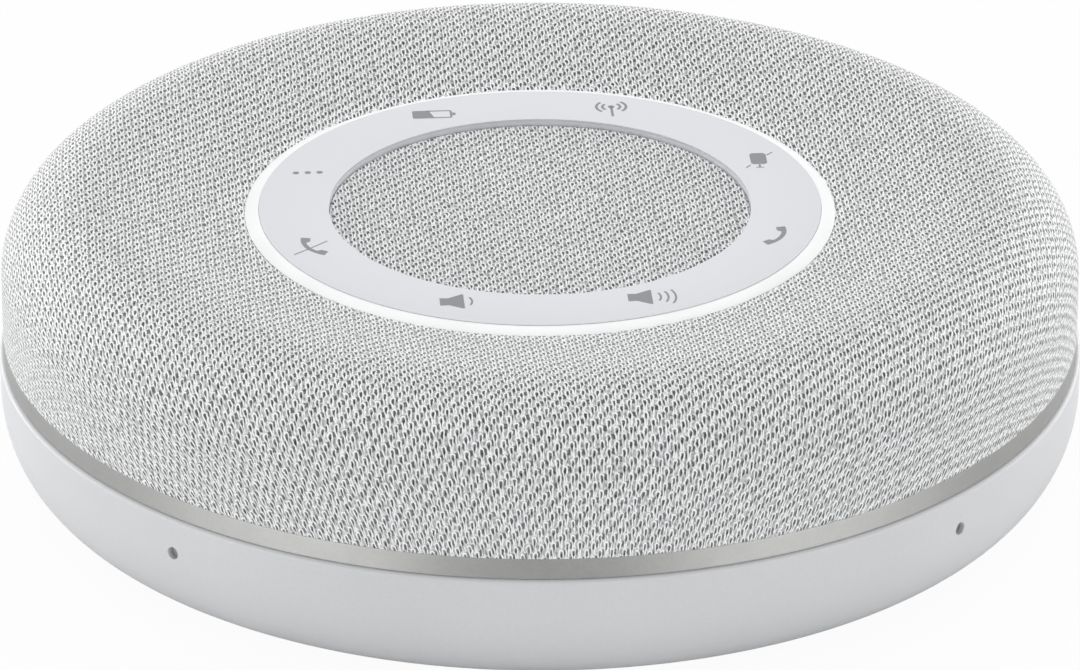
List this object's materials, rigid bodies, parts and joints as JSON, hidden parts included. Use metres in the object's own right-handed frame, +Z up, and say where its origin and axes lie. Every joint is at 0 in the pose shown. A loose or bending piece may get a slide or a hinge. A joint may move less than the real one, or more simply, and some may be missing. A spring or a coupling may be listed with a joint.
{
  "type": "speakerphone",
  "caption": "Round desk speakerphone: knitted dome with a flat touch ring and light ring on top, metal trim band and smooth bowl-shaped base.",
  "frame": {"origin": "centre of the foot ring's underside, on the surface that the speakerphone stands on", "axes": "+Z up through the touch ring's centre, -Y towards the front, +Y towards the charging port"},
  "size_m": [0.1324, 0.1324, 0.0367],
  "materials": {
    "housing_plastic": "satin moulded",
    "base_plastic": "fine textured",
    "foot_rubber": "matte",
    "trim_metal": "satin",
    "knit_fabric": "open knit",
    "grille_plastic": "moulded",
    "ring_plastic": "satin",
    "light_guide": "frosted",
    "button_plastic": "satin",
    "port_steel": "drawn",
    "screw_steel": "zinc plated",
    "board_green": "solder mask",
    "board_white": "white mask",
    "shield_steel": "tinned",
    "dark_plastic": "moulded",
    "connector_plastic": "moulded",
    "battery_wrap": "foil pouch",
    "pad_foam": "foam",
    "boot_rubber": "matte",
    "motor_steel": "plated",
    "magnet_coat": "nickel plated",
    "basket_metal": "black coat",
    "coil_wire": "enamelled copper",
    "cone_paper": "pressed pulp",
    "spider_cloth": "impregnated cloth",
    "surround_rubber": "butyl"
  },
  "bodies": {
    "body": {"lower_housing": "housing_plastic", "base_cover": "base_plastic", "foot_ring": "foot_rubber", "trim_ring": "trim_metal", "fabric_cover": "knit_fabric", "centre_fabric": "knit_fabric", "grille_shell": "grille_plastic", "centre_grille": "grille_plastic", "touch_ring": "ring_plastic", "light_ring": "light_guide", "usb_c_receptacle": "port_steel", "base_screw_1": "screw_steel", "base_screw_2": "screw_steel", "base_screw_3": "screw_steel", "base_screw_4": "screw_steel", "baffle_screw_1": "screw_steel", "baffle_screw_2": "screw_steel", "baffle_screw_3": "screw_steel", "baffle_screw_4": "screw_steel", "main_board": "board_green", "touch_board": "board_green", "mic_board_1": "board_green", "mic_board_2": "board_green", "mic_board_3": "board_green", "mic_board_4": "board_green", "led_board": "board_white", "shield_can": "shield_steel", "tact_switch": "shield_steel", "battery_cradle": "dark_plastic", "speaker_chamber": "dark_plastic", "baffle_plate": "dark_plastic", "battery_connector": "connector_plastic", "battery_cell": "battery_wrap", "battery_pad": "pad_foam", "mic_boot_1": "boot_rubber", "mic_boot_2": "boot_rubber", "mic_boot_3": "boot_rubber", "mic_boot_4": "boot_rubber", "yoke": "motor_steel", "top_plate": "motor_steel", "magnet": "magnet_coat", "driver_basket": "basket_metal", "spider": "spider_cloth", "surround": "surround_rubber", "passive_surround_left": "surround_rubber", "passive_surround_right": "surround_rubber"},
    "driver_moving": {"voice_coil": "coil_wire", "cone": "cone_paper", "dust_cap": "cone_paper"},
    "passive_left": {"passive_plate_left": "motor_steel"},
    "passive_right": {"passive_plate_right": "motor_steel"},
    "power_button": {"power_button": "button_plastic", "switch_plunger": "dark_plastic"}
  },
  "joints": [
    {"name": "cone_travel", "type": "slide", "parent": "body", "child": "driver_moving", "axis": [0, 0, 1], "range_m": [-0.0012, 0.0012], "stiffness_N_per_m": 1500, "deforming": ["surround", "spider"]},
    {"name": "passive_left_travel", "type": "slide", "parent": "body", "child": "passive_left", "axis": [0, 0, 1], "range_m": [-0.0012, 0.0012], "stiffness_N_per_m": 600, "deforming": ["passive_surround_left"]},
    {"name": "passive_right_travel", "type": "slide", "parent": "body", "child": "passive_right", "axis": [0, 0, 1], "range_m": [-0.0012, 0.0012], "stiffness_N_per_m": 600, "deforming": ["passive_surround_right"]},
    {"name": "power_button_press", "type": "slide", "parent": "body", "child": "power_button", "axis": [-0.3746, -0.9272, 0], "range_m": [0, 0.0004], "stiffness_N_per_m": 400}
  ]
}
